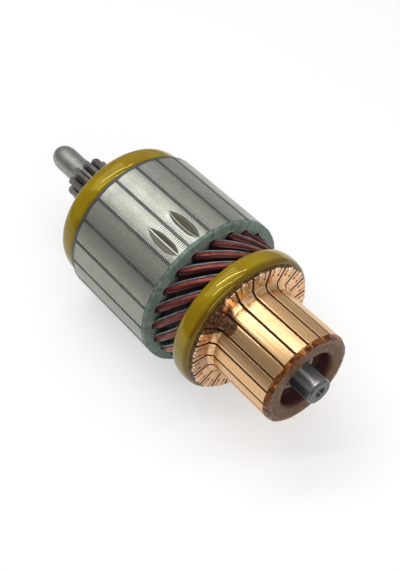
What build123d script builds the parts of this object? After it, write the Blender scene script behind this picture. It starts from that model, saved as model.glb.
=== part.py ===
"""A wound armature for a small geared starter motor.

The shaft lies along X and its commutator end points to +X. The origin is on the shaft's axis, in the
plane of the front edge of the brush track. Lengths are in millimetres and angles in degrees. An angle
about the shaft counts from +Y towards +Z, so slot 1 of the core, at 90, points straight up.
"""
import os
from math import cos, hypot, radians, sin, tan

from build123d import *

os.makedirs("parts", exist_ok=True)

# The winding: as many bars as slots, two conductors in each, every coil five slots wide.
slot_count = 21
pitch = 360 / slot_count
first_slot = 90
coil_span = 5
lead_slots = 2.5

# Hidden and small round things have this many flats.
round_sides = 42

# The shaft, from the commutator end to the domed end.
shaft_front = 9.7
shaft_chamfer = 1.2
journal_radius = 6.0
journal_rear = -4.4
seat_radius = 8.1
tail_radius = 6.2
tail_end = -177.5
dome_steps = ((8.1, tail_radius), (2.6, 4.7))
dome_flat_radius = 2.0
centre_hole_radius = 2.5
centre_hole_angle = 60

# The sun gear cut on the shaft.
gear_teeth = 11
gear_front = -131.0
gear_rear = -152.9
gear_outer_radius = 11.4
gear_pitch_radius = 9.7
gear_root_radius = 7.5
gear_root_angle = 11.6
gear_pitch_angle = 8.8
gear_tip_angle = 4.2
gear_tooth_chamfer = 1.1

# The commutator bars.
track_radius = 22.0
bar_front = 2.25
bar_front_radius = 21.1
riser_front = -32.2
riser_rear = -36.5
riser_root_bevel = 1.8
riser_setback = 0.1
bar_gap = 0.95
undercut = 1.0
riser_undercut = 0.8
bar_bottom_radius = 16.0
hook_radius = 19.0
hook_depth = 4.65
hook_tip_depth = 2.05

# The moulded body that holds the bars, its hollow front and its bush.
hollow_radius = 13.6
hollow_bevel_width = 1.0
hollow_bevel_depth = 1.25
hollow_floor = -4.8
bush_radius = 9.4

# The stack of laminations and its slots.
core_front = -59.7
core_rear = -109.5
core_radius = 36.8
slot_width = 4.3
slot_top_radius = 32.7
slot_neck_width = 1.5
balance_cut_centre = -69.8
balance_cut_depth = 1.8
balance_cutter_radius = 29.8
balance_cut_teeth = (0, 1)

# The insulating coat: an end plate on each side and a lining in every slot.
plate_thickness = 1.65
liner_thickness = 0.4

# The conductors: pressed square in the slots and in the risers, slimmer where they cross over.
slot_conductor = 3.4
bend_conductor = 3.3
free_conductor = 3.1
conductor_clearance = 0.05
liner_clearance = 0.1
layer_gap = 0.8
lead_drop = 0.8
nose_drop = 0.2
lower_sag = 0.3
conductor_front = -32.4
lead_straight_rear = -38.6
lead_bend_front = -57.1
nose_bend_front = -112.4
nose_front = -122.9

# The rings wound over the coil ends.
front_band_rear = -43.6
front_band_front = -33.4
front_band_clearance = 0.6
front_band_edge = 0.4
front_band_height = 2.1
rear_band_rear = -123.2
rear_band_front = -111.7
rear_band_clearance = 0.55
rear_band_edge = 0.5
rear_band_height = 2.8
band_crown_width = 4.4
layer_ring_rear = -53.5
layer_ring_front = -46.5
layer_ring_clearance = 0.1
layer_ring_thickness = 0.2

# Every cutting shape reaches this far past what it cuts.
overcut = 3.0

# How the winding stacks: two layers in every slot under its mouth, and two in every riser.
slot_upper_radius = slot_top_radius - liner_thickness - liner_clearance - slot_conductor / 2
slot_lower_radius = slot_upper_radius - slot_conductor - layer_gap
slot_bottom_radius = slot_lower_radius - slot_conductor / 2 - liner_clearance - liner_thickness
riser_upper_radius = slot_upper_radius - lead_drop
riser_lower_radius = riser_upper_radius - slot_conductor
riser_slot_bottom_radius = riser_lower_radius - slot_conductor / 2 - conductor_clearance
riser_radius = riser_upper_radius + slot_conductor / 2 - riser_setback
nose_upper_radius = slot_upper_radius - nose_drop
lower_middle_radius = (riser_lower_radius + slot_lower_radius) / 2 - lower_sag
layer_ring_inner_radius = lower_middle_radius + free_conductor / 2 + layer_ring_clearance
front_band_inner_radius = riser_upper_radius + slot_conductor / 2 + front_band_clearance
rear_band_inner_radius = nose_upper_radius + free_conductor / 2 + rear_band_clearance


def bar_turn(number):
    """How far a bar that is drawn straight up, at 90, is turned to its place half a pitch past its slot."""
    return first_slot - 90 + (number - 0.5) * pitch


def save(piece, name):
    """Names a finished piece and writes it to its own file."""
    piece.part.label = name
    export_step(piece.part, f"parts/{name}.step")


# Shaft: one turned piece with the sun gear's teeth cut on it.
with BuildPart() as shaft:
    with BuildSketch(Plane.XY):
        with BuildLine():
            Polyline(
                (shaft_front, 0),
                (shaft_front, journal_radius - shaft_chamfer / 2.4),
                (shaft_front - shaft_chamfer, journal_radius),
                (journal_rear, journal_radius),
                (journal_rear, seat_radius),
                (gear_front, seat_radius),
                (gear_front, tail_radius),
                (gear_rear, tail_radius),
                *[(tail_end + depth, radius) for depth, radius in dome_steps],
                (tail_end, dome_flat_radius),
                (tail_end, 0),
                close=True,
            )
        make_face()
    revolve(axis=Axis.X)
    with BuildSketch(Plane.YZ.offset(gear_rear)):
        with BuildLine():
            tooth = [(gear_root_radius, -gear_root_angle), (gear_pitch_radius, -gear_pitch_angle)]
            tooth += [(gear_outer_radius, -gear_tip_angle), (gear_outer_radius, gear_tip_angle)]
            tooth += [(gear_pitch_radius, gear_pitch_angle), (gear_root_radius, gear_root_angle)]
            outline = []
            for number in range(gear_teeth):
                turn = first_slot + number * 360 / gear_teeth
                outline += [(r * cos(radians(turn + a)), r * sin(radians(turn + a))) for r, a in tooth]
            Polyline(*outline, close=True)
        make_face()
    extrude(amount=gear_front - gear_rear)
    tip_radius = gear_outer_radius * cos(radians(gear_tip_angle))
    tip_edges = shaft.edges().filter_by(
        lambda edge: abs(edge.center().X - gear_rear) < 0.01
        and abs(hypot(edge.center().Y, edge.center().Z) - tip_radius) < 0.01
    )
    chamfer(tip_edges, length=gear_tooth_chamfer)
    with BuildSketch(Plane.XY):
        with BuildLine():
            Polyline(
                (shaft_front, 0),
                (shaft_front, centre_hole_radius),
                (shaft_front - centre_hole_radius / tan(radians(centre_hole_angle / 2)), 0),
                close=True,
            )
        make_face()
    revolve(axis=Axis.X, mode=Mode.SUBTRACT)
save(shaft, "shaft")

# Lamination core: a stack of slotted steel sheets with two balancing cuts in its teeth.
with BuildSketch() as slot_outline:
    with BuildLine():
        half = slot_width / 2
        neck = slot_neck_width / 2
        Polyline(
            (slot_bottom_radius, -half),
            (slot_top_radius, -half),
            (slot_top_radius, -neck),
            (core_radius + overcut, -neck),
            (core_radius + overcut, neck),
            (slot_top_radius, neck),
            (slot_top_radius, half),
            (slot_bottom_radius, half),
            close=True,
        )
    make_face()

with BuildPart() as lamination_core:
    with BuildSketch(Plane.YZ.offset(core_rear)):
        Circle(core_radius)
        RegularPolygon(seat_radius, slot_count, major_radius=False, rotation=first_slot, mode=Mode.SUBTRACT)
        with PolarLocations(0, slot_count, start_angle=first_slot):
            add(slot_outline.sketch, mode=Mode.SUBTRACT)
    extrude(amount=core_front - core_rear)
    with BuildPart(mode=Mode.PRIVATE) as balance_cutter:
        cut_bottom = core_radius - balance_cut_depth
        cutter_axis_height = cut_bottom + balance_cutter_radius
        with BuildSketch(Plane.YZ.offset(balance_cut_centre)):
            with BuildLine():
                Polyline(
                    (0, cut_bottom),
                    (overcut, cut_bottom + overcut),
                    (-overcut, cut_bottom + overcut),
                    close=True,
                )
            make_face()
        revolve(axis=Axis((balance_cut_centre, 0, cutter_axis_height), (0, 1, 0)))
    for tooth in balance_cut_teeth:
        add(balance_cutter.part, rotation=(bar_turn(tooth + 1), 0, 0), mode=Mode.SUBTRACT)
save(lamination_core, "lamination_core")

# Core insulation: one coat with an end plate on each side, joined by the linings of the slots.
window_width = slot_width - 2 * liner_thickness
window_bottom = slot_bottom_radius + liner_thickness
window_top = slot_top_radius - liner_thickness
window_middle = (window_bottom + window_top) / 2

with BuildPart() as core_insulation:
    with BuildSketch(Plane.YZ.offset(core_rear - plate_thickness)) as plate:
        RegularPolygon(core_radius, 2 * slot_count, rotation=first_slot)
        RegularPolygon(seat_radius, slot_count, major_radius=False, rotation=first_slot, mode=Mode.SUBTRACT)
        with PolarLocations(0, slot_count, start_angle=first_slot):
            with Locations((window_middle, 0)):
                Rectangle(window_top - window_bottom, window_width, mode=Mode.SUBTRACT)
    extrude(amount=plate_thickness)
    with BuildSketch(Plane.YZ.offset(core_front)):
        add(plate.sketch_local)
        with PolarLocations(0, slot_count, start_angle=first_slot):
            with Locations(((slot_top_radius + core_radius + overcut) / 2, 0)):
                Rectangle(core_radius + overcut - slot_top_radius, slot_neck_width, mode=Mode.SUBTRACT)
    extrude(amount=plate_thickness)
    with BuildSketch(Plane.YZ.offset(core_rear)):
        with PolarLocations(0, slot_count, start_angle=first_slot):
            with Locations(((slot_bottom_radius + slot_top_radius) / 2, 0)):
                Rectangle(slot_top_radius - slot_bottom_radius, slot_width)
            with Locations((window_middle, 0)):
                Rectangle(window_top - window_bottom, window_width, mode=Mode.SUBTRACT)
    extrude(amount=core_front - core_rear)
save(core_insulation, "core_insulation")

# Commutator bar: a copper bar with its riser, one profile cut to a wedge and turned round outside.
wedge_angle = pitch / 2
wedge_apex = bar_gap / 2 / sin(radians(wedge_angle))
wedge_reach = riser_radius + 2 * overcut
wedge_half_width = wedge_reach * tan(radians(wedge_angle))
track_rear = riser_front + riser_root_bevel

with BuildPart() as solid_bar:
    with BuildSketch(Plane.XZ):
        with BuildLine():
            Polyline(
                (bar_front - hook_tip_depth, bar_bottom_radius),
                (bar_front - hook_depth, hook_radius),
                (bar_front, hook_radius),
                (bar_front, bar_front_radius),
                (-bar_front, 2 * track_radius - bar_front_radius),
                (riser_front, riser_radius + overcut),
                (riser_rear, riser_radius + overcut),
                (riser_rear, hook_radius),
                (riser_rear + hook_depth, hook_radius),
                (riser_rear + hook_tip_depth, bar_bottom_radius),
                close=True,
            )
        make_face()
    extrude(amount=wedge_half_width, both=True)
    with BuildSketch(Plane.XY):
        with BuildLine():
            Polyline(
                (bar_front, 0),
                (bar_front, track_radius),
                (riser_front, track_radius),
                (riser_front, riser_radius),
                (riser_rear, riser_radius),
                (riser_rear, 0),
                close=True,
            )
        make_face()
    revolve(axis=Axis.X, mode=Mode.INTERSECT)
    with BuildSketch(Plane.XZ):
        with BuildLine():
            Polyline(
                (track_rear + riser_root_bevel, track_radius - riser_root_bevel),
                (riser_front, track_radius + riser_root_bevel),
                (riser_front, track_radius - riser_root_bevel),
                close=True,
            )
        make_face()
    extrude(amount=wedge_half_width, both=True)
    with BuildSketch(Plane.YZ.offset(riser_rear - overcut)):
        with BuildLine():
            wedge_top = wedge_apex + wedge_reach
            Polyline(
                (0, wedge_apex),
                (wedge_half_width, wedge_top),
                (-wedge_half_width, wedge_top),
                close=True,
            )
        make_face()
    extrude(amount=bar_front - riser_rear + 2 * overcut, mode=Mode.INTERSECT)

with BuildPart() as bar:
    add(solid_bar.part)
    with BuildSketch(Plane.YZ.offset(riser_rear)):
        with Locations((0, (riser_slot_bottom_radius + riser_radius + overcut) / 2)):
            riser_slot_height = riser_radius + overcut - riser_slot_bottom_radius
            Rectangle(slot_conductor + 2 * conductor_clearance, riser_slot_height)
    extrude(amount=riser_front - riser_rear, mode=Mode.SUBTRACT)

gap_flat = first_slot + 180 / round_sides

# Commutator hub: moulded round the bars, filling the gaps between them up to the undercut.
with BuildPart() as commutator_hub:
    with BuildSketch(Plane.YZ.offset(riser_rear)):
        RegularPolygon(riser_radius - riser_undercut, round_sides, major_radius=False, rotation=gap_flat)
        RegularPolygon(bush_radius, slot_count, major_radius=False, rotation=first_slot, mode=Mode.SUBTRACT)
    extrude(amount=riser_front - riser_undercut - riser_rear)
    with BuildSketch(Plane.YZ.offset(riser_front - riser_undercut)):
        RegularPolygon(track_radius - undercut, round_sides, major_radius=False, rotation=gap_flat)
        RegularPolygon(bush_radius, slot_count, major_radius=False, rotation=first_slot, mode=Mode.SUBTRACT)
    extrude(amount=bar_front - riser_front + riser_undercut)
    for number in range(1, slot_count + 1):
        add(solid_bar.part, rotation=(bar_turn(number), 0, 0), mode=Mode.SUBTRACT)
    with BuildSketch(Plane.YZ.offset(hollow_floor)):
        RegularPolygon(hollow_radius, round_sides, rotation=first_slot)
    extrude(amount=bar_front - hollow_floor, mode=Mode.SUBTRACT)
    rim_face = commutator_hub.faces().filter_by(Plane.YZ).sort_by(Axis.X)[-1]
    chamfer(rim_face.inner_wires()[0].edges(), hollow_bevel_width, hollow_bevel_depth, reference=rim_face)
save(commutator_hub, "commutator_hub")

# Commutator bush: the ring between the moulded body and the shaft.
with BuildPart() as commutator_bush:
    with BuildSketch(Plane.YZ.offset(riser_rear)):
        RegularPolygon(bush_radius, slot_count, major_radius=False, rotation=first_slot)
        RegularPolygon(seat_radius, slot_count, major_radius=False, rotation=first_slot, mode=Mode.SUBTRACT)
    extrude(amount=journal_rear - riser_rear)
save(commutator_bush, "commutator_bush")

for number in range(1, slot_count + 1):
    with BuildPart() as segment:
        add(bar.part, rotation=(bar_turn(number), 0, 0))
    save(segment, f"segment_{number:02d}")


def place(x, turn, radius):
    """A point at an axial place, an angle about the shaft and a radius."""
    return Vector(x, radius * cos(radians(turn)), radius * sin(radians(turn)))


def ring_corners(point, before, after, outward, size):
    """The four corners of a square conductor's section where two of its runs meet in a mitre.

    A run that is straight along the shaft keeps its own section, and the nose takes its section from
    the runs on either side of it. Elsewhere the two runs share.
    """
    normal = (before + after).normalized()
    shared = [run for run in (before, after) if abs(run.dot(outward)) < 0.9]
    shared = [run for run in shared if abs(run.X) > 0.9999] or shared
    corners = []
    for up, across in ((1, 1), (1, -1), (-1, -1), (-1, 1)):
        found = Vector(0, 0, 0)
        for run in shared:
            rise = (outward - run * outward.dot(run)).normalized()
            edge = rise * (up * size / 2) + run.cross(rise) * (across * size / 2)
            found = found + edge - run * (edge.dot(normal) / run.dot(normal))
        corners.append(point + found / len(shared))
    return corners


def flat_faces(corners):
    """One face for four corners in a plane, or two triangles for four that are not."""
    a, b, c, d = corners
    normal = (b - a).cross(c - a).normalized()
    if abs(normal.dot(d - a)) < 1e-5:
        return [Face(Wire.make_polygon(corners))]
    return [Face(Wire.make_polygon([a, b, c])), Face(Wire.make_polygon([a, c, d]))]


# Coil: a hairpin whose upper leg lies in slot 1 and whose lower leg lies five slots further on.
lead = lead_slots * pitch
lower_turn = coil_span * pitch
nose_turn = lower_turn / 2
lead_third = (lead_bend_front - lead_straight_rear) / 3
drop_third = lead_drop / 3
lead_middle = (lead_straight_rear + lead_bend_front) / 2
nose_middle = (nose_bend_front + nose_front) / 2
stations = [
    (conductor_front, -lead, riser_upper_radius, slot_conductor),
    (lead_straight_rear, -lead, riser_upper_radius, bend_conductor),
    (lead_straight_rear + lead_third, -lead * 2 / 3, riser_upper_radius + drop_third, free_conductor),
    (lead_bend_front - lead_third, -lead / 3, slot_upper_radius - drop_third, free_conductor),
    (lead_bend_front, 0, slot_upper_radius, slot_conductor),
    (nose_bend_front, 0, slot_upper_radius, slot_conductor),
    (nose_middle, nose_turn / 2, slot_upper_radius, free_conductor),
    (nose_front, nose_turn, nose_upper_radius, free_conductor),
    (nose_front, nose_turn, slot_lower_radius, free_conductor),
    (nose_middle, nose_turn * 3 / 2, slot_lower_radius, free_conductor),
    (nose_bend_front, lower_turn, slot_lower_radius, slot_conductor),
    (lead_bend_front, lower_turn, slot_lower_radius, slot_conductor),
    (lead_middle, lower_turn + lead / 2, lower_middle_radius, free_conductor),
    (lead_straight_rear, lower_turn + lead, riser_lower_radius, bend_conductor),
    (conductor_front, lower_turn + lead, riser_lower_radius, slot_conductor),
]
points = [place(x, first_slot + turn, radius) for x, turn, radius, size in stations]
runs = [(end - start).normalized() for start, end in zip(points, points[1:])]
rings = []
for index, (x, turn, radius, size) in enumerate(stations):
    before = runs[max(index - 1, 0)]
    after = runs[min(index, len(runs) - 1)]
    outward = place(0, first_slot + turn, 1)
    if index < len(stations) / 2:
        rings.append(ring_corners(points[index], before, after, outward, size))
    else:
        ring = ring_corners(points[index], before, after, -outward, size)
        rings.append(ring[1:] + ring[:1])

coil_faces = [Face(Wire.make_polygon(rings[0])), Face(Wire.make_polygon(rings[-1]))]
for start, end in zip(rings, rings[1:]):
    for a, b in ((0, 1), (1, 2), (2, 3), (3, 0)):
        coil_faces += flat_faces([start[a], start[b], end[b], end[a]])
hairpin = Solid(Shell(coil_faces))

for number in range(1, slot_count + 1):
    with BuildPart() as coil:
        add(hairpin, rotation=((number - 1) * pitch, 0, 0))
    save(coil, f"coil_{number:02d}")

# Layer ring: the insulation between the upper and the lower conductors in front of the core.
with BuildPart() as layer_ring:
    with BuildSketch(Plane.YZ.offset(layer_ring_rear)):
        outer = layer_ring_inner_radius + layer_ring_thickness
        RegularPolygon(outer, slot_count, major_radius=False, rotation=first_slot)
        inner = layer_ring_inner_radius
        RegularPolygon(inner, slot_count, major_radius=False, rotation=first_slot, mode=Mode.SUBTRACT)
    extrude(amount=layer_ring_front - layer_ring_rear)
save(layer_ring, "layer_ring")

# Bands: rings of resin and glass thread with a crowned back that hold the coil ends down.
bands = (
    ("front_band", front_band_rear, front_band_front, front_band_inner_radius, front_band_edge,
     front_band_height),
    ("rear_band", rear_band_rear, rear_band_front, rear_band_inner_radius, rear_band_edge,
     rear_band_height),
)
for name, rear, front, inner, edge, height in bands:
    slope_length = (front - rear - band_crown_width) / 2
    with BuildPart() as band:
        with BuildSketch(Plane.YZ.offset(rear)):
            RegularPolygon(inner + height, round_sides, rotation=first_slot)
        extrude(amount=front - rear)
        for end_face in band.faces().filter_by(Plane.YZ):
            chamfer(end_face.edges(), height - edge, slope_length, reference=end_face)
        with BuildSketch(Plane.YZ.offset(rear)):
            RegularPolygon(inner, round_sides, major_radius=False, rotation=first_slot)
        extrude(amount=front - rear, mode=Mode.SUBTRACT)
    save(band, name)
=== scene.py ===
"""The look of a wound starter armature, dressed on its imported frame.

The shaft lies along X with its commutator end at +X, and the origin is on the shaft's axis at the front
edge of the brush track. Lengths are in metres. A turn is an angle about the shaft in degrees, counted
from +Y towards +Z, so slot 1 of the core is at a turn of 90, straight up.
"""
from math import atan2, cos, degrees, hypot, pi, radians, sin, sqrt

import bmesh
import bpy
from mathutils import Matrix, Vector


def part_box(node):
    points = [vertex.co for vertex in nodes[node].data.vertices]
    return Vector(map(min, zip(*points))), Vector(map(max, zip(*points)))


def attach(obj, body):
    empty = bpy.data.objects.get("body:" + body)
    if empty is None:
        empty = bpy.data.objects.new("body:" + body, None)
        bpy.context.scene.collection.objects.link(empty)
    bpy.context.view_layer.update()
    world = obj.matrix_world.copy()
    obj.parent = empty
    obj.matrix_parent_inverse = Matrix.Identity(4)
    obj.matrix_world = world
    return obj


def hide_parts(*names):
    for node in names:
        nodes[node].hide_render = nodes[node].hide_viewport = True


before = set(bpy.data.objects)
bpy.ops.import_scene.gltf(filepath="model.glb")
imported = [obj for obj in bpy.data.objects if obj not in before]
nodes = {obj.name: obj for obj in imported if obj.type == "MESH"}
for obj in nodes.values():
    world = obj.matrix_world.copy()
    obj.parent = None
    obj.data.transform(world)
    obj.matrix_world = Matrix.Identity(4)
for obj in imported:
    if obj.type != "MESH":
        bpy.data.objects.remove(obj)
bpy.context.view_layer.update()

mm = 0.001

# The winding, as the core and the commutator set it.
slots = 21
pitch = 360 / slots
first_slot = 90
coil_span = 5
lead = 2.5 * pitch
first_bar = first_slot + pitch / 2
wire_radius = 1.72 * mm

# Where the main pieces begin and end along the shaft, and how far out they reach.
core_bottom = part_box("lamination_core")[0].z
coat_low, coat_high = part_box("core_insulation")
bar_low, bar_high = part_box("segment_01")
shaft_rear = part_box("shaft")[0].x
plate_front = coat_high.x
plate_rear = coat_low.x
bar_front = bar_high.x
riser_rear = bar_low.x
riser_front = -32.2 * mm
riser_upper_radius = 29.7 * mm
riser_lower_radius = 26.3 * mm
slot_upper_radius = 30.5 * mm
slot_lower_radius = 26.3 * mm

# The turn past which the part lies in shade in the photograph.
shade_turn = 141

# Two places on an upper wire between the core and its riser: along, turn from its slot, and radius.
wire_near_core = (-51.0 * mm, -lead / 3, 30.2 * mm)
wire_near_riser = (-44.8 * mm, -lead * 2 / 3, 29.95 * mm)


def numbered(kind):
    """The names of the CAD nodes of a kind that there is one of for each slot."""
    return [f"{kind}_{number:02d}" for number in range(1, slots + 1)]


def place(along, turn, radius):
    """A point at an axial place, a turn about the shaft and a radius."""
    return Vector((along, radius * cos(radians(turn)), radius * sin(radians(turn))))


def outward(point):
    """The direction away from the shaft at a point."""
    return Vector((0, point.y, point.z)).normalized()


# Shapes

def skin(work, rings):
    """Makes the faces between each ring of corners and the next."""
    for ring, after in zip(rings, rings[1:]):
        for index in range(len(ring)):
            following = (index + 1) % len(ring)
            work.faces.new((ring[index], ring[following], after[following], after[index]))


def turned(profile, steps=168):
    """A closed profile of (along, radius) points turned round the shaft."""
    work = bmesh.new()
    rings = []
    for step in range(steps):
        turn = 360 * step / steps
        rings.append([work.verts.new(place(along, turn, radius)) for along, radius in profile])
    skin(work, rings + rings[:1])
    bmesh.ops.remove_doubles(work, verts=work.verts, dist=1e-7)
    return work


def softened(points, rounds=3):
    """Cuts the corners of a path again and again, and keeps its two ends."""
    for _ in range(rounds):
        cut = [points[0]]
        for start, end in zip(points, points[1:]):
            cut.append(tuple(0.75 * a + 0.25 * b for a, b in zip(start, end)))
            cut.append(tuple(0.25 * a + 0.75 * b for a, b in zip(start, end)))
        cut.append(points[-1])
        points = cut
    return points


def circle(radius, sides):
    """A round section of (side, up) points."""
    return [(radius * cos(2 * pi * i / sides), radius * sin(2 * pi * i / sides)) for i in range(sides)]


def direction(points, index):
    """Which way a path runs at one of its points."""
    return (points[min(index + 1, len(points) - 1)] - points[max(index - 1, 0)]).normalized()


def swept(points, section, upright=False):
    """Carries a section of (side, up) points along a path. Upright, its up is away from the shaft."""
    work = bmesh.new()
    side_mark = work.verts.layers.float.new("side")
    widest = max(a for a, b in section)
    up = outward(points[0])
    rings = []
    for index, point in enumerate(points):
        run = direction(points, index)
        if upright:
            up = outward(point)
        up = (up - run * up.dot(run)).normalized()
        side = run.cross(up)
        ring = []
        for a, b in section:
            corner = work.verts.new(point + side * a + up * b)
            corner[side_mark] = 0.5 + 0.5 * a / widest
            ring.append(corner)
        rings.append(ring)
    skin(work, rings)
    work.faces.new(rings[0])
    work.faces.new(rings[-1])
    return work


def raised(outline, rear, front, bevel=0.0, work=None):
    """Carries a flat outline of (across, up) points above the shaft from rear to front."""
    if work is None:
        work = bmesh.new()
    rings = []
    inset = [(rear, 0.0), (front - bevel, 0.0)]
    if bevel:
        inset.append((front, bevel))
    centre = sum((Vector(point) for point in outline), Vector((0, 0))) / len(outline)
    for along, step in inset:
        ring = []
        for across, up in outline:
            inward = (centre - Vector((across, up))).normalized() * step
            ring.append(work.verts.new((along, across + inward.x, up + inward.y)))
        rings.append(ring)
    skin(work, rings)
    work.faces.new(rings[0])
    work.faces.new(rings[-1])
    return work


def rounded_block(half_width, bottom, top, bottom_corner, top_corner):
    """The outline of a block with rounded corners, as (across, up) points."""
    steps = 6
    corners = (
        (half_width - top_corner, top - top_corner, top_corner, 0),
        (-half_width + top_corner, top - top_corner, top_corner, 90),
        (-half_width + bottom_corner, bottom + bottom_corner, bottom_corner, 180),
        (half_width - bottom_corner, bottom + bottom_corner, bottom_corner, 270),
    )
    outline = []
    for across, up, corner, start in corners:
        for step in range(steps + 1):
            angle = radians(start + 90 * step / steps)
            outline.append((across + corner * cos(angle), up + corner * sin(angle)))
    return outline


def added(name, data):
    """A new object in the scene."""
    made = bpy.data.objects.new(name, data)
    bpy.context.scene.collection.objects.link(made)
    return made


def piece(name, work, finish, slot, stands_for=(), sharp=35):
    """Makes a finished piece of a worked mesh. Its edges past an angle in degrees stay sharp."""
    bmesh.ops.recalc_face_normals(work, faces=work.faces)
    mesh = bpy.data.meshes.new(name)
    work.to_mesh(mesh)
    work.free()
    mesh.shade_smooth()
    mesh.set_sharp_from_angle(angle=radians(sharp))
    made = added(name, mesh)
    mesh.materials.append(finishes[finish])
    made["slot"] = slot
    made["stands_for"] = list(stands_for)
    return made


def seat(made):
    """Lets a finished piece ride on the part and stand for its CAD nodes."""
    stands_for = list(made["stands_for"])
    del made["stands_for"]
    del made["slot"]
    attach(made, "root")
    if stands_for:
        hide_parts(*stands_for)


# Node trees

class Nodes:
    """Adds nodes to a tree. An input may be a value or another node's output."""

    def __init__(self, tree):
        self.tree = tree

    def feed(self, socket, value):
        """Links an output to a socket, or sets its value. A colour is (red, green, blue)."""
        if isinstance(value, bpy.types.NodeSocket):
            self.tree.links.new(value, socket)
        elif socket.type == "RGBA":
            socket.default_value = (*value, 1)
        else:
            socket.default_value = value

    def add(self, kind, inputs=None, **settings):
        node = self.tree.nodes.new(kind)
        for name, value in settings.items():
            setattr(node, name, value)
        for key, value in (inputs or {}).items():
            self.feed(node.inputs[key], value)
        return node

    def math(self, operation, a, b=0.0):
        return self.add("ShaderNodeMath", {0: a, 1: b}, operation=operation).outputs[0]

    def times(self, a, b):
        return self.math("MULTIPLY", a, b)

    def less(self, a, b):
        return self.math("SUBTRACT", a, b)

    def apart(self, a, b):
        """How far two values are from each other."""
        return self.math("ABSOLUTE", self.less(a, b))

    def ramp(self, value, low, high, a=0.0, b=1.0):
        """Goes evenly from a, where the value is low, to b, where it is high."""
        return self.add("ShaderNodeMapRange", {0: value, 1: low, 2: high, 3: a, 4: b}).outputs[0]

    def blend(self, mask, a, b):
        """Goes from colour a to colour b as the mask goes from 0 to 1."""
        node = self.add("ShaderNodeMix", data_type="RGBA")
        for index, value in ((0, mask), (6, a), (7, b)):
            self.feed(node.inputs[index], value)
        return node.outputs[2]

    def between(self, mask, a, b):
        """Goes from value a to value b as the mask goes from 0 to 1."""
        return self.ramp(mask, 0.0, 1.0, a, b)

    def step(self, value, low, high):
        """A mask that rises from 0 at low to 1 at high, or falls if high is the smaller."""
        ends = {0: value, 1: low, 2: high}
        return self.add("ShaderNodeMapRange", ends, interpolation_type="SMOOTHSTEP").outputs[0]

    def group(self, tree, inputs):
        return self.add("ShaderNodeGroup", inputs, node_tree=tree).outputs


def shader_group(name, inputs, outputs):
    """A new shader node group with named inputs and outputs."""
    tree = bpy.data.node_groups.new(name, "ShaderNodeTree")
    for label, value in inputs.items():
        kind = "NodeSocketVector" if value is None else "NodeSocketFloat"
        socket = tree.interface.new_socket(label, in_out="INPUT", socket_type=kind)
        if value is not None:
            socket.default_value = value
    for label in outputs:
        tree.interface.new_socket(label, in_out="OUTPUT", socket_type="NodeSocketFloat")
    make = Nodes(tree)
    return tree, make, make.add("NodeGroupInput").outputs, make.add("NodeGroupOutput").inputs


def round_the_shaft():
    """Where a point is: millimetres along the shaft, millimetres from its axis and degrees round it."""
    places = ("Along", "Radius", "Turn")
    tree, make, given, result = shader_group("Round the shaft", {"Position": None}, places)
    parts = make.add("ShaderNodeSeparateXYZ", {0: given["Position"]}).outputs
    across = make.times(parts[1], parts[1])
    up = make.times(parts[2], parts[2])
    square = make.math("ADD", across, up)
    along = make.times(parts[0], 1 / mm)
    radius = make.times(make.math("SQRT", square), 1 / mm)
    turn = make.times(make.math("ARCTAN2", parts[2], parts[1]), 180 / pi)
    for label, value in (("Along", along), ("Radius", radius), ("Turn", turn)):
        tree.links.new(value, result[label])
    return tree


def from_lines():
    """How far round the shaft a point is, in millimetres, from the nearest of evenly spaced lines."""
    sizes = {"Turn": 0.0, "Radius": 30.0, "Count": 21.0, "First": 90.0}
    places = ("Distance", "Offset", "Number")
    tree, make, given, result = shader_group("From evenly spaced lines", sizes, places)
    spacing = make.math("DIVIDE", 360.0, given["Count"])
    share = make.math("DIVIDE", make.less(given["Turn"], given["First"]), spacing)
    half, above_zero = 0.5, 100
    shifted = make.math("ADD", share, half + above_zero)
    arc = make.times(make.times(spacing, pi / 180), given["Radius"])
    offset = make.times(make.less(make.math("FRACT", shifted), half), arc)
    tree.links.new(make.math("ABSOLUTE", offset), result["Distance"])
    tree.links.new(offset, result["Offset"])
    tree.links.new(make.math("FLOOR", shifted), result["Number"])
    return tree


def blotches():
    """A cloudy mask, with blotches of a size given in millimetres."""
    sizes = {"Position": None, "Size": 4.0, "Low": 0.4, "High": 0.6, "Detail": 3.0}
    tree, make, given, result = shader_group("Blotches", sizes, ("Mask",))
    scale = make.math("DIVIDE", 1 / mm, given["Size"])
    sizes = {"Vector": given["Position"], "Scale": scale, "Detail": given["Detail"]}
    cloud = make.add("ShaderNodeTexNoise", sizes)
    tree.links.new(make.step(cloud.outputs[0], given["Low"], given["High"]), result["Mask"])
    return tree


def streaks():
    """A mask of fine streaks round or along the shaft, as turning and grinding leave them."""
    sizes = {"Along": 0.0, "Turn": 0.0, "Per mm": 4.0, "Per degree": 0.05}
    tree, make, given, result = shader_group("Streaks", sizes, ("Mask",))
    a = make.times(given["Along"], given["Per mm"])
    b = make.times(given["Turn"], given["Per degree"])
    spot = make.add("ShaderNodeCombineXYZ", {0: a, 1: b}).outputs[0]
    cloud = make.add("ShaderNodeTexNoise", {"Vector": spot, "Scale": 1.0, "Detail": 2.0})
    tree.links.new(make.step(cloud.outputs[0], 0.3, 0.7), result["Mask"])
    return tree


def sheet_edges():
    """The edges of thin sheets stacked along the shaft: 1 on a sheet and 0 in the joint after it."""
    sizes = {"Along": 0.0, "Spacing": 0.95, "Joint": 0.3}
    tree, make, given, result = shader_group("Sheet edges", sizes, ("Mask",))
    above_zero, softness = 1000, 0.12
    sheet = make.math("ADD", make.math("DIVIDE", given["Along"], given["Spacing"]), above_zero)
    share = make.math("FRACT", sheet)
    off = make.apart(share, 0.5)
    half = make.less(0.5, make.times(given["Joint"], 0.5))
    tree.links.new(make.ramp(off, half, make.less(half, softness)), result["Mask"])
    return tree


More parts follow.
